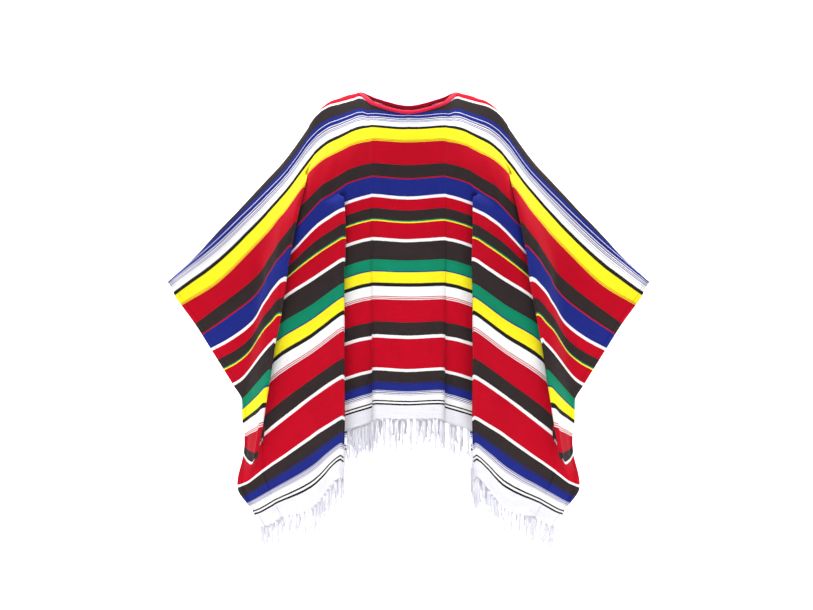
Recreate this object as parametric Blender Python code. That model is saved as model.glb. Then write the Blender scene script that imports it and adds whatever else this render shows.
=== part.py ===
"""A serape poncho worn open over the shoulders: two cloth halves, neck binding, tab and two fringes."""

import math

import bpy
from mathutils import Vector
from mathutils.bvhtree import BVHTree

for old in list(bpy.data.objects):
    bpy.data.objects.remove(old, do_unlink=True)

# Sizes in metres. UNIT is one step of the photo's own ruler: the shoulders give 2.3 mm a step.
UNIT = 0.0023
WALL = 0.0014
SEAM_GAP = 0.0003
KNOT_DEEP = 0.008
LOCK_LONG = 0.078
LOCK_BEND = 0.0015
HEM_STEP = 0.013
HEM_GAP = 0.001
LOCK_ROOT = 0.006
LOCK_APART = 0.02
TAPE = 0.001
TAPE_GAP = 0.0014
TAPE_DEEP = 0.0075
TAPE_TURN = 0.09
TAB_WIDE = 0.011
TAB_LONG = 0.014
LENGTH = 328.0
TOP = 37.0
NECK_END = 49.0
SOFT_RIDGE = 7.0
# A tuck is fully laid over once it reaches this many mm in. Open, its lines share out the cloth.
TUCK_FULL = 15.0
TUCK_OPEN = (0.12, 0.2, 0.28, 0.38, 0.46, 0.56)
# Each step down a lock: its share of the length, and how much narrower it ends.
LOCK_STEPS = ((0.5, 0.6), (0.5, 0.45))

COLLECTION = bpy.data.collections.new("poncho_costume")
bpy.context.scene.collection.children.link(COLLECTION)


def rows(names, *values):
    """A short table: one dict a row, under the column names."""
    return [dict(zip(names.split(), row)) for row in values]


# Each fold line of the left half, followed down the cloth. t is the way down the cloth from the
# shoulder line, out the way out from the middle, drop the way down, all in steps. fwd is mm forward.
CENTRE = rows(
    "t out drop fwd",
    (0, 0, 7, 44),
    (8, 0, 13.5, 54),
    (17.5, 0, 19.5, 68),
    (37, 0, 38.5, 86),
    (49, 0, 50.5, 95),
    (103, 0, 105.5, 117),
    (149, 0, 151, 122),
    (192, 0, 193, 122),
    (243, 0, 244.5, 120),
    (279, 0, 280.5, 118),
    (328, 0, 328, 116),
)
PLEAT_IN = rows(
    "t out drop fwd",
    (0, 30, 2, 28),
    (5, 31, 6.5, 40),
    (11.5, 33, 11.5, 52),
    (37, 33, 37, 78),
    (49, 33, 49, 90),
    (103, 33, 103, 114),
    (192, 33, 192, 122),
    (243, 33, 243, 124),
    (328, 33, 327.5, 126),
)
PLEAT_OUT = rows(
    "t out drop fwd",
    (0, 39, 1, 16),
    (5.5, 41, 5.5, 34),
    (37, 40, 37.5, 74),
    (49, 39, 50, 86),
    (103, 38.5, 103.5, 111),
    (192, 38, 192.5, 117),
    (243, 37.5, 245, 114),
    (328, 36.5, 331, 108),
)
NECK_SIDE = rows(
    "t out drop fwd",
    (37, 49, 39, 68),
    (49, 49, 51.5, 83),
    (103, 49, 106, 110),
    (149, 49, 151.5, 120),
    (208, 49, 211, 122),
    (279, 49, 284.5, 120),
    (328, 49, 335, 118),
)
PANEL_EDGE = rows(
    "t out drop fwd",
    (37, 57, 41.5, 65),
    (49, 58, 54, 80),
    (72, 60, 78.5, 98),
    (103, 62, 110.5, 110),
    (149, 64, 156.5, 116),
    (192, 65, 200, 117),
    (243, 66, 252.5, 116),
    (279, 67, 290.5, 115),
    (328, 68, 341, 114),
)
RIDGE_1 = rows(
    "t out drop fwd",
    (37, 66, 45, 62),
    (49, 66, 57, 80),
    (72, 65, 82, 106),
    (103, 64, 117, 130),
    (149, 64, 170.5, 150),
    (192, 64, 221, 162),
    (243, 64.7, 284, 172),
    (279, 65, 328, 178),
    (328, 67.5, 386.5, 182),
)
SIDE_MIDDLE = rows(
    "t out drop fwd",
    (37, 82, 54.5, 60),
    (49, 86, 68.5, 84),
    (72, 88, 95.5, 104),
    (103, 91, 132.5, 118),
    (149, 96, 190, 130),
    (192, 98, 244, 138),
    (243, 98, 305, 144),
    (279, 98, 348, 148),
    (328, 96, 416, 152),
)
SIDE_END = rows(
    "t out drop fwd",
    (37, 93, 64, 57),
    (49, 99, 80, 80),
    (72, 106, 113.5, 103),
    (103, 115, 158, 110),
    (149, 125.5, 209, 117),
    (192, 133, 266.5, 122),
    (243, 144, 341, 118),
    (279, 143, 379, 110),
    (328, 124, 424.5, 128),
)
RIDGE_2 = rows(
    "t out drop fwd",
    (37, 98, 72, 66),
    (49, 103.5, 96, 100),
    (72, 111.5, 132, 126),
    (103, 121.5, 186, 148),
    (149, 131.5, 251, 160),
    (192, 141.5, 312, 160),
    (208, 145, 335, 162),
    (230, 149, 360, 162),
    (243, 151, 371, 150),
    (260, 152.5, 379, 128),
    (279, 154, 388, 110),
    (328, 135, 430.5, 122),
)
WAVE_IN = rows(
    "t out drop fwd",
    (37, 122, 102, 64),
    (49, 128, 126, 92),
    (72, 137, 164, 116),
    (103, 141, 204, 134),
    (149, 147, 265, 144),
    (192, 151, 318.5, 142),
    (208, 151, 339, 148),
    (230, 154, 361, 148),
    (243, 155.5, 370, 138),
    (279, 159, 391, 106),
    (328, 139, 433, 118),
)
WAVE_OUT = rows(
    "t out drop fwd",
    (37, 152, 136, 62),
    (49, 155, 156, 80),
    (72, 153, 186, 90),
    (103, 155, 228, 100),
    (149, 160, 282, 108),
    (192, 158.5, 324, 112),
    (208, 157.5, 342, 124),
    (243, 160, 368, 124),
    (279, 164, 393.5, 102),
    (328, 142.5, 434, 112),
)
SLEEVE_MIDDLE = rows(
    "t out drop fwd",
    (37, 190, 173, 60),
    (49, 192, 192, 74),
    (72, 184, 211, 82),
    (103, 176, 245, 90),
    (149, 167, 289.5, 98),
    (192, 162.5, 327, 104),
    (208, 161, 344, 104),
    (243, 162.5, 365, 106),
    (279, 167.5, 395, 104),
    (328, 145.5, 434.5, 110),
)
SELVEDGE = rows(
    "t out drop fwd",
    (37, 233.5, 205, 66),
    (49, 227.5, 213.5, 71),
    (72, 213.5, 232.5, 77),
    (103, 198, 257, 80),
    (149, 174.5, 294.5, 90),
    (168, 166.5, 308, 96),
    (192, 166, 329.5, 98),
    (208, 164, 345, 99),
    (243, 164.5, 361, 100),
    (279, 171, 396, 100),
    (300, 158.5, 415.5, 102),
    (328, 147.5, 434.5, 106),
)
# Cloth laid away behind each ridge: hidden is its length in steps, lean how far outward it runs.
TUCK_1 = rows(
    "t hidden lean",
    (80, 0, 0.6),
    (103, 22, 0.7),
    (149, 46, 0.8),
    (208, 88, 0.86),
    (243, 110, 0.88),
    (279, 130, 0.9),
    (328, 156, 0.9),
)
TUCK_2 = rows(
    "t hidden lean",
    (25, 0, 0.3),
    (37, 7, 0.35),
    (49, 30, 0.4),
    (72, 52, 0.45),
    (103, 62, 0.5),
    (149, 64, 0.5),
    (192, 58, 0.4),
    (208, 54, 0.3),
    (230, 42, 0.1),
    (243, 33, 0.1),
    (268, 0, 0.1),
)
# The top of the shoulder and arm from the neck corner out: way is the stripe seen at the very top.
CREST = rows(
    "out drop way fwd",
    (47.5, 0, 0, 5),
    (61.5, 3, 0, 5),
    (70, 6, 1, 6),
    (78.5, 9, 2, 8),
    (88.5, 17, 4, 10),
    (98.5, 31, 7, 12),
    (108.5, 50, 9, 14),
    (128.5, 73, 10, 18),
    (168.5, 116, 13, 28),
    (208.5, 158, 17, 38),
    (242.5, 190.5, 22, 46),
)
# Each fold line of a section in order, where it meets the crest, and the cuts from the one before.
LINES = rows(
    "name crest cuts",
    ("centre", 0, 0),
    ("pleat_in", 30, 3),
    ("pleat_out", 39, 1),
    ("neck_side", 47.5, 1),
    ("panel_edge", 54, 1),
    ("tuck_1_back", 58, 2),
    ("tuck_1", 60, 1),
    ("tuck_1_front", 62, 1),
    ("ridge_1_back", 66, 2),
    ("ridge_1", 68, 1),
    ("ridge_1_front", 70, 1),
    ("side_middle", 78, 2),
    ("side_end", 85, 1),
    ("tuck_2_back", 89, 2),
    ("tuck_2", 91, 1),
    ("tuck_2_front", 93, 1),
    ("ridge_2_back", 97, 2),
    ("ridge_2", 99, 1),
    ("ridge_2_front", 102, 1),
    ("wave_in", 125, 2),
    ("wave_out", 152, 2),
    ("sleeve_middle", 196, 2),
    ("selvedge", 242.5, 2),
)
PLAIN = {
    "centre": CENTRE,
    "pleat_in": PLEAT_IN,
    "pleat_out": PLEAT_OUT,
    "neck_side": NECK_SIDE,
    "panel_edge": PANEL_EDGE,
    "side_middle": SIDE_MIDDLE,
    "side_end": SIDE_END,
    "wave_in": WAVE_IN,
    "wave_out": WAVE_OUT,
    "sleeve_middle": SLEEVE_MIDDLE,
    "selvedge": SELVEDGE,
}
# Columns of the grid from the middle to the side of the head hole.
HOLE = 5
NECK_FRONT = {"centre": 17.5, "pleat_in": 11.5, "pleat_out": 5.5}
NECK_BACK = {"centre": 8.0, "pleat_in": 5.0, "pleat_out": 2.5}
FRONT_LEVELS = (0, 7, 14, 22, 30, 39, 49, 60, 72, 84, 97, 110, 124, 138, 152, 167, 182, 197, 212, 227, 242,
                256, 270, 284, 299, 313, 328)
BACK_LEVELS = (0.3, 6, 13, 22, 34, 49, 66, 84, 104, 124, 145, 166, 187, 208, 229, 250, 270, 290, 309, 328)


def follow(table, key, column, at):
    """The column's value where key is at, along a smooth line through the table's rows."""
    keys = [row[key] for row in table]
    values = [row[column] for row in table]
    if at <= keys[0]:
        return values[0]
    if at >= keys[-1]:
        return values[-1]
    i = max(n for n, known in enumerate(keys[:-1]) if known <= at)
    slopes = []
    for n in (i, i + 1):
        low = max(n - 1, 0)
        high = min(n + 1, len(keys) - 1)
        slopes.append((values[high] - values[low]) / (keys[high] - keys[low]))
    span = keys[i + 1] - keys[i]
    step = (values[i + 1] - values[i]) / span
    slopes = [math.copysign(min(abs(s), 2.5 * abs(step)), s) for s in slopes]
    u = (at - keys[i]) / span
    start = (2 * u**3 - 3 * u**2 + 1) * values[i]
    finish = (3 * u**2 - 2 * u**3) * values[i + 1]
    lean_in = (u**3 - 2 * u**2 + u) * span * slopes[0]
    lean_out = (u**3 - u**2) * span * slopes[1]
    return start + finish + lean_in + lean_out


def spot(table, t):
    """A point of a fold line in mm: out, down and forward."""
    out = follow(table, "t", "out", t) * 2.3
    drop = follow(table, "t", "drop", t) * 2.3
    return Vector((out, drop, follow(table, "t", "fwd", t)))


def tuck_points(inner, ridge, outer, table, t, turn):
    """The two turns of a tuck between the panel behind and the ridge in front.

    Where little is hidden the tuck opens out into the plain cloth between inner and outer.
    """
    hidden = follow(table, "t", "hidden", t) * 2.3
    lean = follow(table, "t", "lean", t)
    turn = max(min(turn, (ridge[2] - inner[2]) / 3.2), 0.5)
    ridge_back = ridge + Vector((turn, 0, -2 * turn))
    ridge_mid = ridge + Vector((0, 0, -turn))
    ridge_front = ridge + Vector((1.2 * turn, 0.3 * turn, 0))
    middle = (inner + ridge_back) / 2
    half = (ridge_back - inner).length / 2
    reach = math.sqrt(max((hidden / 2) ** 2 - half**2, 0))
    full = min(reach / TUCK_FULL, 1)
    full = full * full * (3 - 2 * full)
    reach += turn
    away = Vector((lean, 0, -math.sqrt(1 - lean * lean)))
    end = middle + away * reach
    side = Vector((math.sqrt(1 - lean * lean), 0, lean)) * turn
    pull = away * turn
    folded = {
        "back": end - side - pull,
        "": end,
        "front": end + side - pull,
        "ridge_back": ridge_back,
        "ridge": ridge_mid,
        "ridge_front": ridge_front,
    }
    shares = dict(zip(folded, TUCK_OPEN))
    return {name: inner.lerp(outer, shares[name]).lerp(folded[name], full) for name in folded}


def low_point(name, t):
    """A fold line's point below the shoulder."""
    if name in PLAIN:
        return spot(PLAIN[name], t)
    if name.endswith(("1_back", "1", "1_front")):
        found = tuck_points(
            spot(PANEL_EDGE, t), spot(RIDGE_1, t), spot(SIDE_MIDDLE, t), TUCK_1, t, 9.0
        )
    else:
        found = tuck_points(spot(SIDE_END, t), spot(RIDGE_2, t), spot(WAVE_IN, t), TUCK_2, t, 8.0)
    kind, _, rest = name.partition("_")
    rest = rest[2:]
    if kind == "ridge":
        return found["ridge_" + rest if rest else "ridge"]
    return found[rest]


def crest_of(line):
    """The crest's point in mm and its place down the cloth, where the fold line meets it."""
    out = line["crest"]
    drop = follow(CREST, "out", "drop", out)
    point = Vector((out * 2.3, drop * 2.3, follow(CREST, "out", "fwd", out)))
    return point, follow(CREST, "out", "way", out)


def surface(line, t):
    """A fold line's point at t down the cloth, over the crest and behind it too."""
    crest, way = crest_of(line)
    past = abs(t - way)
    if line["name"] in ("centre", "pleat_in", "pleat_out"):
        point = low_point(line["name"], way + past)
    elif way + past >= TOP:
        point = low_point(line["name"], way + past)
    else:
        low = low_point(line["name"], TOP)
        share = past / (TOP - way)
        round_full = math.hypot(TOP - way, SOFT_RIDGE) - SOFT_RIDGE
        down = (math.hypot(past, SOFT_RIDGE) - SOFT_RIDGE) / round_full
        point = crest.lerp(low, share)
        point[1] = crest[1] + (low[1] - crest[1]) * down
    if t < way:
        point[2] = 2 * crest[2] - point[2]
    return point


def front_point(line, t):
    return surface(line, t)


def back_point(line, t):
    """The back: the front's form turned about the crest, a little smaller so the front hides it."""
    crest, way = crest_of(line)
    ease = min(t / 60, 1)
    reach = 2 * way + t * (LENGTH - 6 - 2 * way) / LENGTH
    point = surface(line, reach)
    depth = point[2] - crest[2]
    point[2] = crest[2] - depth * (1 - 0.08 * ease)
    point[0] *= 1 - 0.02 * ease
    point[1] -= 6 * ease * ease
    return point


def smooth_section(points, cuts):
    """A section's points through its fold lines, with the named number of cuts between them."""
    knots = [0.0]
    for a, b in zip(points, points[1:]):
        knots.append(knots[-1] + max((b - a).length, 0.4) ** 0.5)
    slopes = []
    for n in range(len(points)):
        if n == 0:
            slopes.append(Vector(((points[1][0] - points[0][0]) / knots[1], 0, 0)))
        elif n == len(points) - 1:
            slopes.append((points[n] - points[n - 1]) / (knots[n] - knots[n - 1]))
        else:
            slopes.append((points[n + 1] - points[n - 1]) / (knots[n + 1] - knots[n - 1]))
    made = [points[0]]
    for n in range(1, len(points)):
        span = knots[n] - knots[n - 1]
        for cut in range(1, cuts[n] + 1):
            u = cut / cuts[n]
            a = (2 * u**3 - 3 * u**2 + 1) * points[n - 1]
            b = (3 * u**2 - 2 * u**3) * points[n]
            c = (u**3 - 2 * u**2 + u) * span * slopes[n - 1]
            d = (u**3 - u**2) * span * slopes[n]
            made.append(a + b + c + d)
    return made


def placed(point):
    return Vector((-point[0], -point[2], -point[1])) / 1000


def half_section(place, neck, t):
    """One half section, middle to selvedge, in metres on the wearer's side at -X."""
    points = []
    for line in LINES:
        start = neck.get(line["name"], 0.0)
        at = t
        if t < NECK_END:
            at = start + t * (NECK_END - start) / NECK_END
        points.append(placed(place(line, at)))
    return smooth_section(points, [line["cuts"] for line in LINES])


def full_section(place, neck, t):
    half = half_section(place, neck, t)
    other = [Vector((-p.x, p.y, p.z)) for p in half[1:]]
    return half[::-1] + other


def cloth_mesh(place, neck, levels):
    return [full_section(place, neck, t) for t in levels]


def material(name, colour):
    made = bpy.data.materials.new(name)
    made.use_nodes = True
    shader = made.node_tree.nodes["Principled BSDF"]
    shader.inputs["Base Color"].default_value = (*colour, 1)
    shader.inputs["Roughness"].default_value = 0.9
    return made


def add_object(name, mesh_points, faces, made_of):
    mesh = bpy.data.meshes.new(name)
    mesh.from_pydata([tuple(p) for p in mesh_points], [], faces)
    mesh.validate()
    mesh.materials.append(made_of)
    obj = bpy.data.objects.new(name, mesh)
    COLLECTION.objects.link(obj)
    return obj


def grid_faces(high, wide, turned):
    faces = []
    for i in range(high - 1):
        for j in range(wide - 1):
            face = (i * wide + j, (i + 1) * wide + j, (i + 1) * wide + j + 1, i * wide + j + 1)
            faces.append(face[::-1] if turned else face)
    return faces


def normals_of(sections, turned):
    """A unit vector out of the cloth at each point of the grid."""
    high = len(sections)
    wide = len(sections[0])
    found = []
    for i in range(high):
        line = []
        for j in range(wide):
            along = sections[i][min(j + 1, wide - 1)] - sections[i][max(j - 1, 0)]
            down = sections[min(i + 1, high - 1)][j] - sections[max(i - 1, 0)][j]
            out = down.cross(along).normalized()
            line.append(-out if turned else out)
        found.append(line)
    return found


def share_seam(first, second, hole):
    """Both halves take the mean of their two normals on the shoulder line, away from the head hole."""
    middle = (len(first[0]) - 1) // 2
    for j in range(len(first[0])):
        if abs(j - middle) >= hole:
            mean = (first[0][j] + second[0][j]).normalized()
            first[0][j] = mean
            second[0][j] = mean


def add_cloth(name, sections, normals, turned, made_of):
    """A closed cloth wall: the outer grid, an inner one and the rim between them."""
    high = len(sections)
    wide = len(sections[0])
    count = high * wide
    outer = [p for section in sections for p in section]
    inward = [n for line in normals for n in line]
    inner = [p - n * WALL for p, n in zip(outer, inward)]
    faces = grid_faces(high, wide, turned)
    faces += [tuple(k + count for k in face[::-1]) for face in grid_faces(high, wide, turned)]
    rim = [j for j in range(wide)]
    rim += [i * wide + wide - 1 for i in range(1, high)]
    rim += [(high - 1) * wide + j for j in range(wide - 2, -1, -1)]
    rim += [i * wide for i in range(high - 2, 0, -1)]
    for k, here in enumerate(rim):
        after = rim[(k + 1) % len(rim)]
        side = (here, here + count, after + count, after)
        faces.append(side[::-1] if not turned else side)
    return add_object(name, outer + inner, faces, made_of)


def along_hem(sections, normals):
    """The hem in steps of about HEM_STEP: its point, the way down the cloth and out of it."""
    last = sections[-1]
    before = sections[-2]
    places = []
    for j in range(len(last) - 1):
        count = max(round((last[j + 1] - last[j]).length / HEM_STEP), 1)
        for k in range(count):
            share = k / count
            point = last[j].lerp(last[j + 1], share)
            down = (point - before[j].lerp(before[j + 1], share)).normalized()
            out = normals[-1][j].lerp(normals[-1][j + 1], share)
            places.append((point, down, out))
    end = last[-1]
    places.append((end, (end - before[-1]).normalized(), normals[-1][-1]))
    return places


def add_fringe(name, sections, normals, made_of):
    """The strip of knots just under the hem, with tapered locks standing apart along it."""
    places = along_hem(sections, normals)
    steps = len(places) - 1
    points = []
    for point, down, out in places:
        top = point + down * HEM_GAP
        low = top + down * KNOT_DEEP
        points += [top, top - out * WALL, low, low - out * WALL]
    faces = [(0, 2, 3, 1)]
    since = 0.0
    for k in range(steps):
        a = 4 * k
        b = a + 4
        faces += [(a, b, b + 2, a + 2), (a + 1, a + 3, b + 3, b + 1), (a, a + 1, b + 1, b)]
        root = (a + 2, b + 2, b + 3, a + 3)
        wide = (places[k + 1][0] - places[k][0]).length
        since += wide
        if wide < LOCK_ROOT or since < LOCK_APART:
            faces.append(root)
            continue
        since = 0.0
        grow = LOCK_LONG * (0.9 + 0.1 * math.cos(1.7 * k))
        for step, (share, narrow) in enumerate(LOCK_STEPS):
            middle = sum((points[n] for n in root), Vector()) / 4
            bend = Vector((math.sin(2.1 * k + 3 * step), math.cos(1.3 * k + 2 * step), 0)) * LOCK_BEND
            fall = places[k][1].lerp(Vector((0, 0, -1)), 0.8).normalized()
            ring = []
            for n in root:
                ring.append(len(points))
                points.append(middle + (points[n] - middle) * narrow + fall * grow * share + bend)
            for here in range(4):
                after = (here + 1) % 4
                faces.append((root[here], root[after], ring[after], ring[here]))
            root = tuple(ring)
        faces.append(root)
    end = 4 * steps
    faces.append((end, end + 1, end + 3, end + 2))
    if name.startswith("front"):
        faces = [face[::-1] for face in faces]
    return add_object(name, points, faces, made_of)


def neck_loop():
    """The edge of the head hole, once round: its point, the way into the cloth and out of it."""
    middle = (len(front[0]) - 1) // 2
    loop = [(front[0][j], front_normals[0][j]) for j in range(middle - HOLE, middle + HOLE + 1)]
    loop += [(back[0][j], back_normals[0][j]) for j in range(middle + HOLE - 1, middle - HOLE, -1)]
    count = len(loop)
    places = []
    for k in range(count):
        for share in (0, 0.5):
            point = loop[k][0].lerp(loop[(k + 1) % count][0], share)
            out = loop[k][1].lerp(loop[(k + 1) % count][1], share).normalized()
            places.append((point, out))
    made = []
    for k, (point, out) in enumerate(places):
        round_way = places[(k + 1) % len(places)][0] - places[k - 1][0]
        made.append((point, round_way.cross(out).normalized(), out))
    return made


def cloth_tree():
    """The outer faces of both halves, to lay the tape on."""
    points = [p for section in front for p in section]
    faces = grid_faces(len(front), len(front[0]), False)
    first = len(points)
    points += [p for section in back for p in section]
    faces += [tuple(k + first for k in face) for face in grid_faces(len(back), len(back[0]), True)]
    return BVHTree.FromPolygons(points, faces)


def add_binding(name, made_of):
    """Red tape folded over the raw edge of the head hole, laid on the cloth's own faces."""
    outside = TAPE_GAP + TAPE
    inside = -WALL - TAPE_GAP
    shape = rows(
        "deep level",
        (TAPE_DEEP, TAPE_GAP),
        (TAPE_DEEP, outside),
        (TAPE_DEEP / 2, outside),
        (-outside, outside),
        (-outside, inside - TAPE),
        (TAPE_DEEP / 2, inside - TAPE),
        (TAPE_DEEP, inside - TAPE),
        (TAPE_DEEP, inside),
        (TAPE_DEEP / 2, inside),
        (-TAPE_GAP, inside),
        (-TAPE_GAP, TAPE_GAP),
        (TAPE_DEEP / 2, TAPE_GAP),
    )
    tree = cloth_tree()
    loop = neck_loop()
    points = []
    for point, away, out in loop:
        for corner in shape:
            at_side = abs(point.x) > TAPE_TURN
            narrow = 1.0
            if at_side and corner["deep"] > 0:
                narrow = 0.5 if corner["level"] > 0 else 0.12
            slack = 2.4 * TAPE if at_side else 0.0
            on_cloth = point + away * corner["deep"] * narrow
            if corner["deep"] < 0:
                on_cloth -= away * slack
            normal = out
            if corner["deep"] > 0:
                on_cloth, face_normal, _, _ = tree.find_nearest(on_cloth)
                normal = face_normal if face_normal.dot(out) > 0 else -face_normal
            points.append(on_cloth + normal * (corner["level"] + math.copysign(slack, corner["level"])))
    count = len(shape)
    faces = []
    for k in range(len(loop)):
        for m in range(count):
            here = count * k + m
            side = count * k + (m + 1) % count
            after = (here + count) % len(points)
            faces.append((here, after, (side + count) % len(points), side))
    return add_object(name, points, faces, made_of)


def add_tab(name, made_of):
    """The short tape at the middle of the back, just inside the neck."""
    loop = neck_loop()
    point, away, out = min((place for place in loop if place[0].y > 0), key=lambda place: abs(place[0].x))
    level = -WALL - TAPE_GAP - TAPE - SEAM_GAP
    points = []
    for n in (level, level - TAPE):
        for a, x in ((-0.002, -1), (-0.002, 1), (TAB_LONG, 1), (TAB_LONG, -1)):
            points.append(point + away * a + out * n + Vector((x * TAB_WIDE / 2, 0, 0)))
    faces = [(0, 1, 2, 3), (7, 6, 5, 4), (4, 5, 1, 0), (5, 6, 2, 1), (6, 7, 3, 2), (7, 4, 0, 3)]
    return add_object(name, points, faces, made_of)


cloth = material("woven_cloth", (0.5, 0.02, 0.03))
tape = material("red_tape", (0.62, 0.01, 0.04))
yarn = material("white_yarn", (0.85, 0.85, 0.85))

front = cloth_mesh(front_point, NECK_FRONT, FRONT_LEVELS)
back = cloth_mesh(back_point, NECK_BACK, BACK_LEVELS)
front_normals = normals_of(front, False)
back_normals = normals_of(back, True)
share_seam(front_normals, back_normals, HOLE)
add_cloth("front_cloth", front, front_normals, False, cloth)
add_cloth("back_cloth", back, back_normals, True, cloth)
add_binding("neck_binding", tape)
add_tab("neck_tab", tape)
add_fringe("front_fringe", front, front_normals, yarn)
add_fringe("back_fringe", back, back_normals, yarn)
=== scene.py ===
"""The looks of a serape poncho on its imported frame: striped cloth, red neck tape and yarn fringe."""

import math

import bmesh
import bpy
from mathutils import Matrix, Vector
from mathutils.bvhtree import BVHTree


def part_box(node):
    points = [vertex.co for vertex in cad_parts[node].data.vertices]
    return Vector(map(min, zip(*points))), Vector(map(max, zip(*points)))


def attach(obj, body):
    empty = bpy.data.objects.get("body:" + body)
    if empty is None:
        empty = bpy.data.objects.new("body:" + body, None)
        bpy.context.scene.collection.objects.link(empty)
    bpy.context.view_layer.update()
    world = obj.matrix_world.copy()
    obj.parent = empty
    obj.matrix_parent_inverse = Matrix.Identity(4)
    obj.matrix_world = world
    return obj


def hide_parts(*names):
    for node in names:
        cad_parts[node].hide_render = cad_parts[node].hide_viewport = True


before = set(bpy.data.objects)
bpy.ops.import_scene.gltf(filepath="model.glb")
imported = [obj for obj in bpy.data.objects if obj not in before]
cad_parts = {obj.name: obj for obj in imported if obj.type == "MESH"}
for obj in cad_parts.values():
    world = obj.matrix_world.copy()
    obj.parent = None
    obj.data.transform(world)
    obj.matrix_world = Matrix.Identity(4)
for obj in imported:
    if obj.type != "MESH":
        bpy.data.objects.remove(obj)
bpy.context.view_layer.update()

# One step of the tables is one pixel of the photo, in metres and in mm.
UNIT = 0.0023
STEP_MM = 2.3
# The cloth: its width in metres, its way down in steps, and how the drape's curves are cut.
HALF_WIDE = 0.75
LENGTH = 328.0
TOP = 37.0
NECK_END = 49.0
SOFT_RIDGE = 7.0
TUCK_FULL = 15.0
TUCK_OPEN = (0.12, 0.2, 0.28, 0.38, 0.46, 0.56)
WALL = 0.0014
FINER = 4
FRONT_ROWS = 104
BACK_ROWS = 74
# The fringe in metres: close full locks on the middle panel, thinner ones from SIDE_FROM outwards.
LOCK_STEP = 0.0152
SIDE_FROM = 0.34
LOCK_LONG = 0.080
SIDE_LONG = 0.078
LOCK_YARNS = 6
SIDE_YARNS = 4
LOCK_THICK = 0.0032
SIDE_THICK = 0.0028
YARN_SPREAD = 0.003
YARN_STEPS = 9
# The selvedge's hem: where the turned edge ends and where its stitches run, in metres from the edge.
TURNED = 0.0108
STITCHED = 0.0105
# The studio in metres, and the photo's size and the place of the part's origin in it, in pixels.
FLOOR_Z = -1.25
SWEEP_HALF = 9.0
SWEEP_ROUND = 1.2
SWEEP_FROM = 1.0
SENSOR_MM = 36.0
CAMERA_FAR = 16.0
CAMERA_PLANE = -0.07
PHOTO_WIDE = 813
PHOTO_CENTRE = (406.5, 305.0)
ORIGIN_PIXEL = (408.5, 91.5)


def rows(names, *values):
    """A short table: one dict a row, under the column names."""
    return [dict(zip(names.split(), row)) for row in values]


# Each fold line of the left half, followed down the cloth. t is the way down the cloth from the
# shoulder line, out the way out from the middle, drop the way down, all in steps. fwd is mm forward.
CENTRE = rows(
    "t out drop fwd",
    (0, 0, 7, 44),
    (8, 0, 13.5, 54),
    (17.5, 0, 19.5, 68),
    (37, 0, 38.5, 86),
    (49, 0, 50.5, 95),
    (103, 0, 105.5, 117),
    (149, 0, 151, 122),
    (192, 0, 193, 122),
    (243, 0, 244.5, 120),
    (279, 0, 280.5, 118),
    (328, 0, 328, 116),
)
PLEAT_IN = rows(
    "t out drop fwd",
    (0, 30, 2, 28),
    (5, 31, 6.5, 40),
    (11.5, 33, 11.5, 52),
    (37, 33, 37, 78),
    (49, 33, 49, 90),
    (103, 33, 103, 114),
    (192, 33, 192, 122),
    (243, 33, 243, 124),
    (328, 33, 327.5, 126),
)
PLEAT_OUT = rows(
    "t out drop fwd",
    (0, 39, 1, 16),
    (5.5, 41, 5.5, 34),
    (37, 40, 37.5, 74),
    (49, 39, 50, 86),
    (103, 38.5, 103.5, 111),
    (192, 38, 192.5, 117),
    (243, 37.5, 245, 114),
    (328, 36.5, 331, 108),
)
NECK_SIDE = rows(
    "t out drop fwd",
    (37, 49, 39, 68),
    (49, 49, 51.5, 83),
    (103, 49, 106, 110),
    (149, 49, 151.5, 120),
    (208, 49, 211, 122),
    (279, 49, 284.5, 120),
    (328, 49, 335, 118),
)
PANEL_EDGE = rows(
    "t out drop fwd",
    (37, 57, 41.5, 65),
    (49, 58, 54, 80),
    (72, 60, 78.5, 98),
    (103, 62, 110.5, 110),
    (149, 64, 156.5, 116),
    (192, 65, 200, 117),
    (243, 66, 252.5, 116),
    (279, 67, 290.5, 115),
    (328, 68, 341, 114),
)
RIDGE_1 = rows(
    "t out drop fwd",
    (37, 66, 45, 62),
    (49, 66, 57, 80),
    (72, 65, 82, 106),
    (103, 64, 117, 130),
    (149, 64, 170.5, 150),
    (192, 64, 221, 162),
    (243, 64.7, 284, 172),
    (279, 65, 328, 178),
    (328, 67.5, 386.5, 182),
)
SIDE_MIDDLE = rows(
    "t out drop fwd",
    (37, 82, 54.5, 60),
    (49, 86, 68.5, 84),
    (72, 88, 95.5, 104),
    (103, 91, 132.5, 118),
    (149, 96, 190, 130),
    (192, 98, 244, 138),
    (243, 98, 305, 144),
    (279, 98, 348, 148),
    (328, 96, 416, 152),
)
SIDE_END = rows(
    "t out drop fwd",
    (37, 93, 64, 57),
    (49, 99, 80, 80),
    (72, 106, 113.5, 103),
    (103, 115, 158, 110),
    (149, 125.5, 209, 117),
    (192, 133, 266.5, 122),
    (243, 144, 341, 118),
    (279, 143, 379, 110),
    (328, 124, 424.5, 128),
)
RIDGE_2 = rows(
    "t out drop fwd",
    (37, 98, 72, 66),
    (49, 103.5, 96, 100),
    (72, 111.5, 132, 126),
    (103, 121.5, 186, 148),
    (149, 131.5, 251, 160),
    (192, 141.5, 312, 160),
    (208, 145, 335, 162),
    (230, 149, 360, 162),
    (243, 151, 371, 150),
    (260, 152.5, 379, 128),
    (279, 154, 388, 110),
    (328, 135, 430.5, 122),
)
WAVE_IN = rows(
    "t out drop fwd",
    (37, 122, 102, 64),
    (49, 128, 126, 92),
    (72, 137, 164, 116),
    (103, 141, 204, 134),
    (149, 147, 265, 144),
    (192, 151, 318.5, 142),
    (208, 151, 339, 148),
    (230, 154, 361, 148),
    (243, 155.5, 370, 138),
    (279, 159, 391, 106),
    (328, 139, 433, 118),
)
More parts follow.
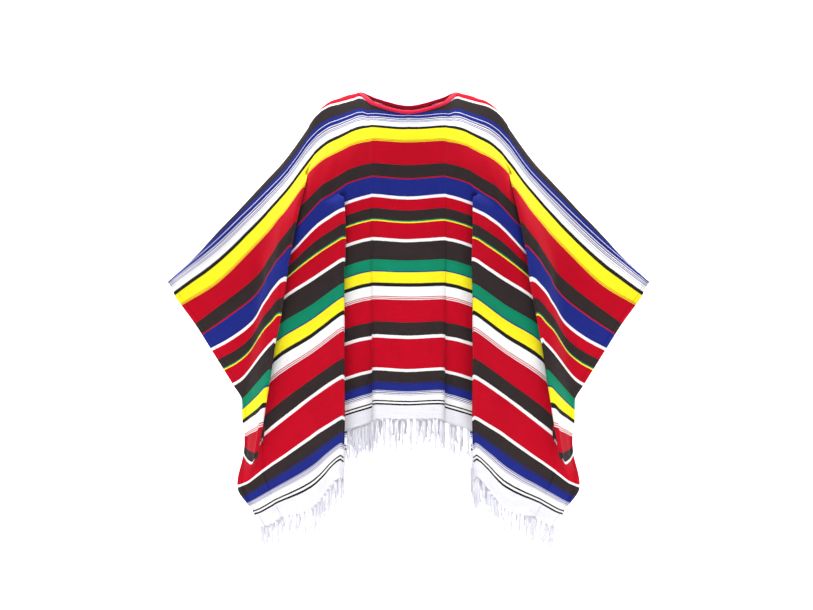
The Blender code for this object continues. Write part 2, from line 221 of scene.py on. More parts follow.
WAVE_OUT = rows(
    "t out drop fwd",
    (37, 152, 136, 62),
    (49, 155, 156, 80),
    (72, 153, 186, 90),
    (103, 155, 228, 100),
    (149, 160, 282, 108),
    (192, 158.5, 324, 112),
    (208, 157.5, 342, 124),
    (243, 160, 368, 124),
    (279, 164, 393.5, 102),
    (328, 142.5, 434, 112),
)
SLEEVE_MIDDLE = rows(
    "t out drop fwd",
    (37, 190, 173, 60),
    (49, 192, 192, 74),
    (72, 184, 211, 82),
    (103, 176, 245, 90),
    (149, 167, 289.5, 98),
    (192, 162.5, 327, 104),
    (208, 161, 344, 104),
    (243, 162.5, 365, 106),
    (279, 167.5, 395, 104),
    (328, 145.5, 434.5, 110),
)
SELVEDGE = rows(
    "t out drop fwd",
    (37, 233.5, 205, 66),
    (49, 227.5, 213.5, 71),
    (72, 213.5, 232.5, 77),
    (103, 198, 257, 80),
    (149, 174.5, 294.5, 90),
    (168, 166.5, 308, 96),
    (192, 166, 329.5, 98),
    (208, 164, 345, 99),
    (243, 164.5, 361, 100),
    (279, 171, 396, 100),
    (300, 158.5, 415.5, 102),
    (328, 147.5, 434.5, 106),
)
# Cloth laid away behind each ridge: hidden is its length in steps, lean how far outward it runs.
TUCK_1 = rows(
    "t hidden lean",
    (80, 0, 0.6),
    (103, 22, 0.7),
    (149, 46, 0.8),
    (208, 88, 0.86),
    (243, 110, 0.88),
    (279, 130, 0.9),
    (328, 156, 0.9),
)
TUCK_2 = rows(
    "t hidden lean",
    (25, 0, 0.3),
    (37, 7, 0.35),
    (49, 30, 0.4),
    (72, 52, 0.45),
    (103, 62, 0.5),
    (149, 64, 0.5),
    (192, 58, 0.4),
    (208, 54, 0.3),
    (230, 42, 0.1),
    (243, 33, 0.1),
    (268, 0, 0.1),
)
# The top of the shoulder and arm from the neck corner out: way is the stripe seen at the very top.
CREST = rows(
    "out drop way fwd",
    (47.5, 0, 0, 5),
    (61.5, 3, 0, 5),
    (70, 6, 1, 6),
    (78.5, 9, 2, 8),
    (88.5, 17, 4, 10),
    (98.5, 31, 7, 12),
    (108.5, 50, 9, 14),
    (128.5, 73, 10, 18),
    (168.5, 116, 13, 28),
    (208.5, 158, 17, 38),
    (242.5, 190.5, 22, 46),
)
# Each fold line of a section in order, where it meets the crest, and the cuts from the one before.
LINES = rows(
    "name crest cuts",
    ("centre", 0, 0),
    ("pleat_in", 30, 3),
    ("pleat_out", 39, 1),
    ("neck_side", 47.5, 1),
    ("panel_edge", 54, 1),
    ("tuck_1_back", 58, 2),
    ("tuck_1", 60, 1),
    ("tuck_1_front", 62, 1),
    ("ridge_1_back", 66, 2),
    ("ridge_1", 68, 1),
    ("ridge_1_front", 70, 1),
    ("side_middle", 78, 2),
    ("side_end", 85, 1),
    ("tuck_2_back", 89, 2),
    ("tuck_2", 91, 1),
    ("tuck_2_front", 93, 1),
    ("ridge_2_back", 97, 2),
    ("ridge_2", 99, 1),
    ("ridge_2_front", 102, 1),
    ("wave_in", 125, 2),
    ("wave_out", 152, 2),
    ("sleeve_middle", 196, 2),
    ("selvedge", 242.5, 2),
)
PLAIN = {
    "centre": CENTRE,
    "pleat_in": PLEAT_IN,
    "pleat_out": PLEAT_OUT,
    "neck_side": NECK_SIDE,
    "panel_edge": PANEL_EDGE,
    "side_middle": SIDE_MIDDLE,
    "side_end": SIDE_END,
    "wave_in": WAVE_IN,
    "wave_out": WAVE_OUT,
    "sleeve_middle": SLEEVE_MIDDLE,
    "selvedge": SELVEDGE,
}
# Columns of the grid from the middle to the side of the head hole.
HOLE = 5
NECK_FRONT = {"centre": 17.5, "pleat_in": 11.5, "pleat_out": 5.5}
NECK_BACK = {"centre": 8.0, "pleat_in": 5.0, "pleat_out": 2.5}


def follow(table, key, column, at):
    """The column's value where key is at, along a smooth line through the table's rows."""
    keys = [row[key] for row in table]
    values = [row[column] for row in table]
    if at <= keys[0]:
        return values[0]
    if at >= keys[-1]:
        return values[-1]
    i = max(n for n, known in enumerate(keys[:-1]) if known <= at)
    slopes = []
    for n in (i, i + 1):
        low = max(n - 1, 0)
        high = min(n + 1, len(keys) - 1)
        slopes.append((values[high] - values[low]) / (keys[high] - keys[low]))
    span = keys[i + 1] - keys[i]
    step = (values[i + 1] - values[i]) / span
    slopes = [math.copysign(min(abs(s), 2.5 * abs(step)), s) for s in slopes]
    u = (at - keys[i]) / span
    start = (2 * u**3 - 3 * u**2 + 1) * values[i]
    finish = (3 * u**2 - 2 * u**3) * values[i + 1]
    lean_in = (u**3 - 2 * u**2 + u) * span * slopes[0]
    lean_out = (u**3 - u**2) * span * slopes[1]
    return start + finish + lean_in + lean_out


def spot(table, t):
    """A point of a fold line in mm: out, down and forward."""
    out = follow(table, "t", "out", t) * STEP_MM
    drop = follow(table, "t", "drop", t) * STEP_MM
    return Vector((out, drop, follow(table, "t", "fwd", t)))


def tuck_points(inner, ridge, outer, table, t, turn):
    """The two turns of a tuck between the panel behind and the ridge in front.

    Where little is hidden the tuck opens out into the plain cloth between inner and outer.
    """
    hidden = follow(table, "t", "hidden", t) * STEP_MM
    lean = follow(table, "t", "lean", t)
    turn = max(min(turn, (ridge[2] - inner[2]) / 3.2), 0.5)
    ridge_back = ridge + Vector((turn, 0, -2 * turn))
    ridge_mid = ridge + Vector((0, 0, -turn))
    ridge_front = ridge + Vector((1.2 * turn, 0.3 * turn, 0))
    middle = (inner + ridge_back) / 2
    half = (ridge_back - inner).length / 2
    reach = math.sqrt(max((hidden / 2) ** 2 - half**2, 0))
    full = min(reach / TUCK_FULL, 1)
    full = full * full * (3 - 2 * full)
    reach += turn
    away = Vector((lean, 0, -math.sqrt(1 - lean * lean)))
    end = middle + away * reach
    side = Vector((math.sqrt(1 - lean * lean), 0, lean)) * turn
    pull = away * turn
    folded = {
        "back": end - side - pull,
        "": end,
        "front": end + side - pull,
        "ridge_back": ridge_back,
        "ridge": ridge_mid,
        "ridge_front": ridge_front,
    }
    shares = dict(zip(folded, TUCK_OPEN))
    return {name: inner.lerp(outer, shares[name]).lerp(folded[name], full) for name in folded}


def low_point(name, t):
    """A fold line's point below the shoulder."""
    if name in PLAIN:
        return spot(PLAIN[name], t)
    if name.endswith(("1_back", "1", "1_front")):
        found = tuck_points(
            spot(PANEL_EDGE, t), spot(RIDGE_1, t), spot(SIDE_MIDDLE, t), TUCK_1, t, 9.0
        )
    else:
        found = tuck_points(spot(SIDE_END, t), spot(RIDGE_2, t), spot(WAVE_IN, t), TUCK_2, t, 8.0)
    kind, _, rest = name.partition("_")
    rest = rest[2:]
    if kind == "ridge":
        return found["ridge_" + rest if rest else "ridge"]
    return found[rest]


def crest_of(line):
    """The crest's point in mm and its place down the cloth, where the fold line meets it."""
    out = line["crest"]
    drop = follow(CREST, "out", "drop", out)
    point = Vector((out * STEP_MM, drop * STEP_MM, follow(CREST, "out", "fwd", out)))
    return point, follow(CREST, "out", "way", out)


def surface(line, t):
    """A fold line's point at t down the cloth, over the crest and behind it too."""
    crest, way = crest_of(line)
    past = abs(t - way)
    if line["name"] in ("centre", "pleat_in", "pleat_out"):
        point = low_point(line["name"], way + past)
    elif way + past >= TOP:
        point = low_point(line["name"], way + past)
    else:
        low = low_point(line["name"], TOP)
        share = past / (TOP - way)
        round_full = math.hypot(TOP - way, SOFT_RIDGE) - SOFT_RIDGE
        down = (math.hypot(past, SOFT_RIDGE) - SOFT_RIDGE) / round_full
        point = crest.lerp(low, share)
        point[1] = crest[1] + (low[1] - crest[1]) * down
    if t < way:
        point[2] = 2 * crest[2] - point[2]
    return point


def front_point(line, t):
    return surface(line, t)


def back_point(line, t):
    """The back: the front's form turned about the crest, a little smaller so the front hides it."""
    crest, way = crest_of(line)
    ease = min(t / 60, 1)
    reach = 2 * way + t * (LENGTH - 6 - 2 * way) / LENGTH
    point = surface(line, reach)
    depth = point[2] - crest[2]
    point[2] = crest[2] - depth * (1 - 0.08 * ease)
    point[0] *= 1 - 0.02 * ease
    point[1] -= 6 * ease * ease
    return point


def smooth_section(points, cuts):
    """A section's points through its fold lines, with the named number of cuts between them."""
    knots = [0.0]
    for a, b in zip(points, points[1:]):
        knots.append(knots[-1] + max((b - a).length, 0.4) ** 0.5)
    slopes = []
    for n in range(len(points)):
        if n == 0:
            slopes.append(Vector(((points[1][0] - points[0][0]) / knots[1], 0, 0)))
        elif n == len(points) - 1:
            slopes.append((points[n] - points[n - 1]) / (knots[n] - knots[n - 1]))
        else:
            slopes.append((points[n + 1] - points[n - 1]) / (knots[n + 1] - knots[n - 1]))
    made = [points[0]]
    for n in range(1, len(points)):
        span = knots[n] - knots[n - 1]
        for cut in range(1, cuts[n] + 1):
            u = cut / cuts[n]
            a = (2 * u**3 - 3 * u**2 + 1) * points[n - 1]
            b = (3 * u**2 - 2 * u**3) * points[n]
            c = (u**3 - 2 * u**2 + u) * span * slopes[n - 1]
            d = (u**3 - u**2) * span * slopes[n]
            made.append(a + b + c + d)
    return made


def placed(point):
    """From mm out, down and forward to metres in the part's frame, on the left side."""
    return Vector((-point[0], -point[2], -point[1])) / 1000


def fine_levels(count):
    """Even levels down the cloth, a little closer near the shoulder."""
    return [LENGTH * (0.75 * k / count + 0.25 * (k / count) ** 1.5) for k in range(count + 1)]


# Soft folds: side is -1 left, 1 right, 0 both; top and end in steps down; the rest in metres.
CREASES = rows(
    "side top end from_s to_s wide high",
    (-1, 60, 330, 0.06, 0.035, 0.012, 0.0035),
    (1, 90, 330, 0.05, 0.03, 0.011, 0.003),
    (0, 190, 345, 0.0, 0.01, 0.02, 0.003),
    (-1, 40, 200, 0.17, 0.30, 0.014, 0.004),
    (1, 40, 190, 0.18, 0.31, 0.013, 0.0035),
    (-1, 30, 150, 0.42, 0.60, 0.016, 0.004),
    (1, 34, 160, 0.44, 0.58, 0.018, 0.0035),
    (-1, 60, 240, 0.55, 0.66, 0.014, -0.0035),
    (1, 60, 230, 0.56, 0.65, 0.015, -0.004),
    (-1, 210, 345, 0.50, 0.56, 0.018, 0.004),
    (1, 220, 345, 0.51, 0.57, 0.016, 0.004),
    (-1, 230, 340, 0.60, 0.64, 0.012, -0.003),
    (1, 225, 340, 0.61, 0.65, 0.013, -0.0035),
    (0, 20, 120, 0.10, 0.08, 0.015, 0.002),
)


def crease(across, t, side):
    """Small soft troughs and ridges a hanging cloth shows between its main folds, uneven on purpose."""
    lift = 0.0
    for fold in CREASES:
        if fold["side"] not in (0, side) or not fold["top"] < t < fold["end"]:
            continue
        share = (t - fold["top"]) / (fold["end"] - fold["top"])
        centre = fold["from_s"] + (fold["to_s"] - fold["from_s"]) * share
        off = (across - centre) / fold["wide"]
        lift += fold["high"] * math.exp(-off * off) * math.sin(math.pi * share) ** 0.7
    return lift


def half_grid(place, neck, levels, side):
    """Rows of (point, across, t) for one half of the front or back, middle to selvedge."""
    grid = []
    cuts = [line["cuts"] * FINER for line in LINES]
    for t in levels:
        points = [placed(place(line, at_level(neck, line, t))) for line in LINES]
        points = smooth_section(points, cuts)
        lengths = [0.0]
        for a, b in zip(points, points[1:]):
            lengths.append(lengths[-1] + (b - a).length)
        starts = [at_level(neck, line, t) for line in LINES]
        rises = [starts[0]]
        for n in range(1, len(LINES)):
            for cut in range(1, cuts[n] + 1):
                rises.append(starts[n - 1] + (starts[n] - starts[n - 1]) * cut / cuts[n])
        row = []
        for p, length, rise in zip(points, lengths, rises):
            mirrored = Vector((side * -p.x, p.y, p.z))
            row.append((mirrored, side * length * HALF_WIDE / lengths[-1], rise))
        grid.append(row)
    return grid


def at_level(neck, line, t):
    """How far down a fold line level t lies: below the head hole the levels are even again."""
    start = neck.get(line["name"], 0.0)
    if t < NECK_END:
        return start + t * (NECK_END - start) / NECK_END
    return t


def full_grid(place, neck, levels):
    """Both halves side by side, left selvedge to right."""
    left = half_grid(place, neck, levels, -1)
    right = half_grid(place, neck, levels, 1)
    return [a[::-1] + b[1:] for a, b in zip(left, right)]


def grid_normals(grid, turned):
    """The outward normal at each place of the grid."""
    high = len(grid)
    wide = len(grid[0])
    found = []
    for i in range(high):
        line = []
        for j in range(wide):
            along = grid[i][min(j + 1, wide - 1)][0] - grid[i][max(j - 1, 0)][0]
            down = grid[min(i + 1, high - 1)][j][0] - grid[max(i - 1, 0)][j][0]
            out = down.cross(along)
            line.append((-out if turned else out).normalized())
        found.append(line)
    return found


def creased(grid, normals):
    """The grid with its small folds raised along the normals."""
    made = []
    for row, line in zip(grid, normals):
        new = []
        for (point, across, t), out in zip(row, line):
            lift = crease(abs(across), t, 1 if across > 0 else -1)
            new.append((point + out * lift, across, t))
        made.append(new)
    return made


def material(name, rough, sheen):
    """A plain matt cloth material."""
    made = bpy.data.materials.new(name)
    made.use_nodes = True
    shader = made.node_tree.nodes["Principled BSDF"]
    shader.inputs["Roughness"].default_value = rough
    shader.inputs["Sheen Weight"].default_value = sheen
    shader.inputs["Sheen Roughness"].default_value = 0.5
    shader.inputs["Specular IOR Level"].default_value = 0.06
    return made


class Nodes:
    """Short calls for a material's nodes."""

    def __init__(self, made):
        self.tree = made.node_tree
        self.shader = self.tree.nodes["Principled BSDF"]

    def put(self, socket, value):
        if isinstance(value, bpy.types.NodeSocket):
            self.tree.links.new(value, socket)
        else:
            socket.default_value = value

    def math(self, kind, first, second=0.0, third=0.0):
        node = self.tree.nodes.new("ShaderNodeMath")
        node.operation = kind
        for socket, value in zip(node.inputs, (first, second, third)):
            self.put(socket, value)
        return node.outputs[0]

    def join(self, x, y, z=0.0):
        node = self.tree.nodes.new("ShaderNodeCombineXYZ")
        for socket, value in zip(node.inputs, (x, y, z)):
            self.put(socket, value)
        return node.outputs[0]

    def noise(self, place, scale, detail=2.0):
        node = self.tree.nodes.new("ShaderNodeTexNoise")
        self.put(node.inputs["Vector"], place)
        node.inputs["Scale"].default_value = scale
        node.inputs["Detail"].default_value = detail
        return node.outputs["Fac"]

    def grain(self, x, x_scale, y, y_scale, detail=2.0):
        """Noise drawn out along one way or the other."""
        place = self.join(self.math("MULTIPLY", x, x_scale), self.math("MULTIPLY", y, y_scale))
        return self.noise(place, 1.0, detail)

    def product(self, first, *others):
        for other in others:
            first = self.math("MULTIPLY", first, other)
        return first

    def total(self, first, *others):
        for other in others:
            first = self.math("ADD", first, other)
        return first

    def mix(self, share, first, second, kind="MIX"):
        node = self.tree.nodes.new("ShaderNodeMix")
        node.data_type = "RGBA"
        node.blend_type = kind
        self.put(node.inputs["Factor"], share)
        self.put(node.inputs[6], first)
        self.put(node.inputs[7], second)
        return node.outputs[2]

    def ramp(self, value, stops):
        node = self.tree.nodes.new("ShaderNodeValToRGB")
        self.put(node.inputs[0], value)
        ramp = node.color_ramp
        ramp.interpolation = "CONSTANT"
        ramp.elements[0].position = stops[0][0]
        ramp.elements[0].color = (*stops[0][1], 1)
        ramp.elements[1].position = stops[1][0]
        ramp.elements[1].color = (*stops[1][1], 1)
        for position, colour in stops[2:]:
            ramp.elements.new(position).color = (*colour, 1)
        return node.outputs[0]


YARNS = {
    "red": (0.475, 0.002, 0.015),
    "dark": (0.030, 0.022, 0.022),
    "blue": (0.013, 0.022, 0.21),
    "white": (0.88, 0.87, 0.88),
    "yellow": (0.93, 0.81, 0.018),
    "green": (0.005, 0.225, 0.118),
    "black": (0.014, 0.013, 0.014),
    # pale: the white hem yarn dimmed to a lavender grey, painted shade on white cloth.
    "pale": (0.76, 0.76, 0.82),
}
# The weaver's chart: each stripe's colour and where it starts, in steps down from the shoulder.
STRIPES = rows(
    "start yarn",
    (0, "red"), (8.0, "white"), (9.8, "dark"), (18.8, "blue"), (21.8, "white"), (22.2, "blue"),
    (24.9, "white"), (25.5, "blue"), (26.4, "white"), (27.1, "blue"), (27.8, "white"),
    (28.4, "blue"), (28.9, "white"), (30.0, "blue"), (30.3, "white"), (33.6, "black"),
    (36.2, "yellow"), (47.0, "red"), (47.3, "yellow"), (48.2, "red"), (48.8, "yellow"),
    (49.4, "red"), (50.2, "yellow"), (50.5, "red"), (71.6, "dark"), (84.6, "red"), (85.8, "blue"),
    (102.4, "white"), (105.4, "red"), (116.4, "dark"), (127.0, "green"), (127.9, "yellow"),
    (129.4, "red"), (145.6, "white"), (148.6, "dark"), (167.6, "green"), (178.6, "blue"),
    (179.4, "yellow"), (190.8, "black"), (194.2, "white"), (204.2, "red"), (204.7, "white"),
    (205.8, "red"), (206.5, "white"), (207.2, "red"), (229.2, "dark"), (242.4, "white"),
    (245.4, "red"), (275.6, "white"), (278.6, "dark"), (289.4, "blue"), (290.2, "dark"),
    (290.9, "blue"), (298.6, "white"), (299.0, "blue"), (299.8, "white"), (300.5, "blue"),
    (301.1, "white"), (302.2, "blue"), (302.5, "white"), (308.4, "black"), (309.8, "white"),
    # From 313.2 on, the white hem takes pale, which is white cloth in painted shade.
    (311.4, "black"), (313.2, "pale"),
)
RAMP_STRIPES = 20


def stripe_colour(nodes, t):
    """The chart as ramps of a few stripes each, every ramp handing over where the next starts."""
    groups = [STRIPES[n:n + RAMP_STRIPES] for n in range(0, len(STRIPES), RAMP_STRIPES)]
    ends = [group[0]["start"] for group in groups[1:]] + [LENGTH]
    colour = None
    for group, end in zip(groups, ends):
        first = group[0]["start"]
        span = float(end - first)
        stops = [((row["start"] - first) / span, YARNS[row["yarn"]]) for row in group]
        share = nodes.math("DIVIDE", nodes.math("SUBTRACT", t, float(first)), span)
        ramp = nodes.ramp(share, stops)
        if colour is None:
            colour = ramp
        else:
            colour = nodes.mix(nodes.math("GREATER_THAN", t, float(first)), colour, ramp)
    return colour


def woven_cloth():
    """Weft-faced weave: the stripes follow the UV map, which holds metres across and down the cloth."""
    made = material("woven_cloth", 0.9, 0.05)
    nodes = Nodes(made)
    uv = nodes.tree.nodes.new("ShaderNodeUVMap")
    uv.uv_map = "UVMap"
    split = nodes.tree.nodes.new("ShaderNodeSeparateXYZ")
    nodes.put(split.inputs[0], uv.outputs[0])
    across = split.outputs[0]
    down = nodes.math("ABSOLUTE", split.outputs[1])
    from_edge = nodes.math("SUBTRACT", HALF_WIDE, nodes.math("ABSOLUTE", across))
    ragged = nodes.grain(across, 900.0, down, 60.0)
    drift = nodes.grain(across, 9.0, down, 4.0)
    t = nodes.math("DIVIDE", down, UNIT)
    ragged = nodes.math("MULTIPLY_ADD", ragged, 0.9, -0.45)
    drift = nodes.math("MULTIPLY_ADD", drift, 1.2, -0.6)
    t = nodes.total(t, ragged, drift)
    colour = stripe_colour(nodes, t)
    streak = nodes.grain(across, 25.0, down, 700.0, 3.0)
    cloudy = nodes.grain(across, 30.0, down, 30.0, 3.0)
    flecks = nodes.grain(across, 260.0, down, 420.0, 1.0)
    off_seam = nodes.math("ABSOLUTE", nodes.math("SUBTRACT", from_edge, STITCHED))
    dash = nodes.math("GREATER_THAN", nodes.math("SINE", nodes.math("MULTIPLY", down, 1900.0)), -0.5)
    stitch = nodes.product(nodes.math("LESS_THAN", off_seam, 0.0006), dash)
    shade = nodes.product(
        nodes.math("MULTIPLY_ADD", streak, 0.34, 0.76),
        nodes.math("MULTIPLY_ADD", cloudy, 0.16, 0.93),
        nodes.math("MULTIPLY_ADD", nodes.math("GREATER_THAN", flecks, 0.72), -0.35, 1.0),
        nodes.math("MULTIPLY_ADD", stitch, -0.45, 1.0),
    )
    grey = nodes.join(shade, shade, shade)
    nodes.put(nodes.shader.inputs["Base Color"], nodes.mix(1.0, colour, grey, "MULTIPLY"))
    weft = nodes.math("ABSOLUTE", nodes.math("SINE", nodes.math("MULTIPLY", down, math.pi / 0.0011)))
    warp = nodes.math("ABSOLUTE", nodes.math("SINE", nodes.math("MULTIPLY", across, math.pi / 0.0024)))
    turned = nodes.math("LESS_THAN", from_edge, TURNED)
    height = nodes.total(
        nodes.product(weft, 0.3),
        nodes.product(warp, 0.5),
        nodes.product(turned, 1.6),
        nodes.product(streak, 0.8),
        nodes.product(stitch, -1.2),
    )
    bump = nodes.tree.nodes.new("ShaderNodeBump")
    bump.inputs["Strength"].default_value = 0.5
    bump.inputs["Distance"].default_value = 0.0005
    nodes.put(bump.inputs["Height"], height)
    nodes.put(nodes.shader.inputs["Normal"], bump.outputs[0])
    return made


def plain_yarn(name, colour, rough, spread):
    """Tape or yarn: one colour with a fine fibre variation."""
    made = material(name, rough, 0.15)
    nodes = Nodes(made)
    place = nodes.tree.nodes.new("ShaderNodeTexCoord").outputs["Object"]
    fibre = nodes.noise(place, 900.0, 2.0)
    shade = nodes.math("MULTIPLY_ADD", fibre, spread, 1.0 - spread / 2)
    grey = nodes.join(shade, shade, shade)
    nodes.put(nodes.shader.inputs["Base Color"], nodes.mix(1.0, (*colour, 1), grey, "MULTIPLY"))
    bump = nodes.tree.nodes.new("ShaderNodeBump")
    bump.inputs["Strength"].default_value = 0.4
    bump.inputs["Distance"].default_value = 0.0003
    nodes.put(bump.inputs["Height"], fibre)
    nodes.put(nodes.shader.inputs["Normal"], bump.outputs[0])
    return made


def new_object(name, points, faces, made_of, uvs=None):
    mesh = bpy.data.meshes.new(name)
    mesh.from_pydata([tuple(p) for p in points], [], faces)
    if uvs is not None:
        layer = mesh.uv_layers.new(name="UVMap")
        for loop in mesh.loops:
            layer.data[loop.index].uv = uvs[loop.vertex_index]
    mesh.polygons.foreach_set("use_smooth", [True] * len(mesh.polygons))
    mesh.materials.append(made_of)
    obj = bpy.data.objects.new(name, mesh)
    bpy.context.scene.collection.objects.link(obj)
    return obj


def sheet_faces(high, wide, turned, first):
    faces = []
    for i in range(high - 1):
        for j in range(wide - 1):
            a = first + i * wide + j
            face = (a, a + wide, a + wide + 1, a + 1)
            faces.append(face[::-1] if turned else face)
    return faces


def both_halves(front, back):
    """The points and faces of the front's outer face, then of the back's."""
    points = [cell[0] for row in front + back for cell in row]
    faces = sheet_faces(len(front), len(front[0]), False, 0)
    faces += sheet_faces(len(back), len(back[0]), True, len(front) * len(front[0]))
    return points, faces


def build_cloth(front, back, made_of):
    """Both halves as one woven length, joined along the shoulder line, then given their wall."""
    points, faces = both_halves(front, back)
    uvs = [(cell[1], cell[2] * UNIT) for row in front for cell in row]
    uvs += [(cell[1], -cell[2] * UNIT) for row in back for cell in row]
    wide = len(front[0])
    first = len(front) * wide
    obj = new_object("serape_cloth", points, faces, made_of, uvs)
    joined = bmesh.new()
    joined.from_mesh(obj.data)
    middle = (wide - 1) // 2
    joined.verts.ensure_lookup_table()
    seam = {}
    for j in range(wide):
        if abs(j - middle) >= HOLE * FINER:
            seam[joined.verts[first + j]] = joined.verts[j]
    bmesh.ops.weld_verts(joined, targetmap=seam)
    joined.to_mesh(obj.data)
    joined.free()
    wall = obj.modifiers.new("wall", "SOLIDIFY")
    wall.thickness = WALL
    wall.offset = -1
    wall.use_even_offset = False
    return obj


def hem_places(grid, normals, step):
    """Places along the hem every step metres: point, way down, way out, and distance across."""
    last = grid[-1]
    before = grid[-3]
    places = []
    since = step
    for j in range(1, len(last)):
        a = last[j - 1]
        b = last[j]
        long = (b[0] - a[0]).length
        since += long
        if since < step:
            continue
        since -= step
        down = (b[0] - before[j][0]).normalized()
        places.append((b[0], down, normals[-1][j], b[1]))
    return places


def strand(points, faces, root, fall, sway, long, thick, seed):
    """One wavy tapered yarn of four sides."""
    side = fall.orthogonal().normalized()
    other = fall.cross(side)
    for k in range(YARN_STEPS + 1):
        share = k / YARN_STEPS
        wave = Vector((math.sin(seed * 1.7 + share * 7.5), math.cos(seed * 2.3 + share * 6.1), 0))
        centre = root + fall * (long * share) + sway * share + wave * (0.0022 * share + 0.0004)
        wide = thick * (1 - 0.65 * share)
        first = len(points)
        for x, y in ((1, 0), (0, 1), (-1, 0), (0, -1)):
            points.append(centre + side * (x * wide) + other * (y * wide))
        if k:
            for n in range(4):
                m = (n + 1) % 4
                faces.append((first - 4 + n, first - 4 + m, first + m, first + n))
        else:
            faces.append((first + 3, first + 2, first + 1, first))
    faces.append(tuple(range(len(points) - 4, len(points))))


def build_fringe(name, grid, normals, made_of):
    """Knotted locks of yarn: close on the middle panel, thin and apart towards the sides."""
    points = []
    faces = []
    for n, (root, down, out, across) in enumerate(hem_places(grid, normals, LOCK_STEP)):
        fall = down.lerp(Vector((0, 0, -1)), 0.85).normalized()
        inside = root - out * (WALL / 2)
        near = abs(across) < SIDE_FROM
        yarns = LOCK_YARNS if near else SIDE_YARNS
        long = (LOCK_LONG if near else SIDE_LONG) * (0.9 + 0.1 * math.sin(n * 2.9))
        thick = LOCK_THICK if near else SIDE_THICK
        for m in range(yarns):
            spread = Vector((math.sin(n * 5.1 + m * 2.1), math.cos(n * 3.7 + m * 2.6), 0)) * YARN_SPREAD
            start = inside + (Vector((math.cos(m), math.sin(m), 0)) * 0.0018 if m else Vector())
            strand(points, faces, start, fall, spread, long * (1 - 0.05 * (m % 4)), thick, n * 3.1 + m * 1.3)
    return new_object(name, points, faces, made_of)


def neck_edge(front, front_normals, back, back_normals):
    """The head hole's edge, once round: each point and its outward normal."""
    middle = (len(front[0]) - 1) // 2
    reach = HOLE * FINER
    loop = [(front[0][j][0], front_normals[0][j]) for j in range(middle - reach, middle + reach + 1)]
    loop += [(back[0][j][0], back_normals[0][j]) for j in range(middle + reach - 1, middle - reach, -1)]
    return loop


def smooth_loop(values, rounds):
    for _ in range(rounds):
        after = values[1:] + values[:1]
        values = [(values[k - 1] + values[k] * 2 + after[k]) / 4 for k in range(len(values))]
    return values


# The folded tape across: metres in from the raw edge, and metres above the cloth's outer face.
TAPE_SHAPE = rows(
    "deep level",
    (0.0080, 0.0004),
    (0.0080, 0.0012),
    (0.0045, 0.0016),
    (0.0005, 0.0017),
    (-0.0012, 0.0010),
    (-0.0018, -0.0007),
    (-0.0012, -0.0024),
    (0.0005, -0.0031),
    (0.0045, -0.0030),
    (0.0080, -0.0026),
    (0.0080, -0.0018),
    (0.0040, -0.0016),
    (-0.0004, -0.0014),
    (-0.0004, 0.0001),
    (0.0040, 0.0003),
)


def build_binding(loop, tree, made_of):
    """The folded tape, following the cloth on both sides of the raw edge."""
    normals = [out.normalized() for out in smooth_loop([place[1] for place in loop], 6)]
    edge = smooth_loop([place[0] for place in loop], 2)
    points = []
    count = len(TAPE_SHAPE)
    for k, (point, out) in enumerate(zip(edge, normals)):
        round_way = (edge[(k + 1) % len(edge)] - edge[k - 1]).normalized()
        away = round_way.cross(out).normalized()
        for corner in TAPE_SHAPE:
            spot_at = point + away * corner["deep"]
            normal = out
            if corner["deep"] > 0.001:
                on_cloth, face_normal, _, _ = tree.find_nearest(spot_at)
                spot_at = spot_at.lerp(on_cloth, 0.8)
                if face_normal.dot(out) < 0:
                    face_normal = -face_normal
                normal = out.lerp(face_normal, 0.5).normalized()
            points.append(spot_at + normal * corner["level"])
    faces = []
    total = len(points)
    for k in range(len(edge)):
        for m in range(count):
            here = count * k + m
            side = count * k + (m + 1) % count
            faces.append((here, (here + count) % total, (side + count) % total, side))
    return new_object("neck_tape", points, faces, made_of)


def build_tab(made_of):
    """The short loop of tape at the middle of the back, filling its own CAD box."""
    low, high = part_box("neck_tab")
    low = Vector(low)
    high = Vector(high)
    points = []
    faces = []
    rings = 9
    for k in range(rings):
        share = k / (rings - 1)
        z = high.z + (low.z - high.z) * share
        y = (low.y + high.y) / 2 - 0.0008 * math.sin(math.pi * share)
        first = len(points)
        for x, dy in ((low.x, -0.0006), (high.x, -0.0006), (high.x, 0.0006), (low.x, 0.0006)):
            points.append(Vector((x, y + dy, z)))
        if k:
            for n in range(4):
                m = (n + 1) % 4
                faces.append((first - 4 + n, first - 4 + m, first + m, first + n))
    faces.append((3, 2, 1, 0))
    faces.append(tuple(range(len(points) - 4, len(points))))
    return new_object("neck_tab_tape", points, faces, made_of)


def aim(obj, target):
    obj.rotation_euler = (Vector(target) - obj.location).to_track_quat("-Z", "Y").to_euler()


def soft_light(name, place, target, size, power):
    data = bpy.data.lights.new(name, "AREA")
    data.shape = "RECTANGLE"
    data.size = size[0]
    data.size_y = size[1]
    data.energy = power
    light = bpy.data.objects.new(name, data)
    bpy.context.scene.collection.objects.link(light)
    light.location = place
    aim(light, target)
    return light


def open_from_behind(made):
    """Lets a view from behind the sweep see through its back to the poncho."""
    nodes = Nodes(made)
    facing = nodes.tree.nodes.new("ShaderNodeNewGeometry")
    clear = nodes.tree.nodes.new("ShaderNodeBsdfTransparent")
    either = nodes.tree.nodes.new("ShaderNodeMixShader")
    nodes.put(either.inputs[0], facing.outputs["Backfacing"])
    nodes.put(either.inputs[1], nodes.shader.outputs[0])
    nodes.put(either.inputs[2], clear.outputs[0])
    nodes.put(nodes.tree.nodes["Material Output"].inputs["Surface"], either.outputs[0])


LIGHTS = rows(
    "name place target size power",
    ("key", (-1.6, -4.0, 2.4), (0, 0, -0.5), (2.0, 2.0), 44),
    ("front_light", (0, -6.0, -0.2), (0, 0, -0.5), (1.6, 1.6), 78),
    ("fill", (2.6, -4.0, 0.8), (0, 0, -0.5), (2.0, 2.0), 12),
    ("sweep_light", (0, 0.8, 3.6), (0, 2.2, -0.5), (5.0, 1.0), 600),
)


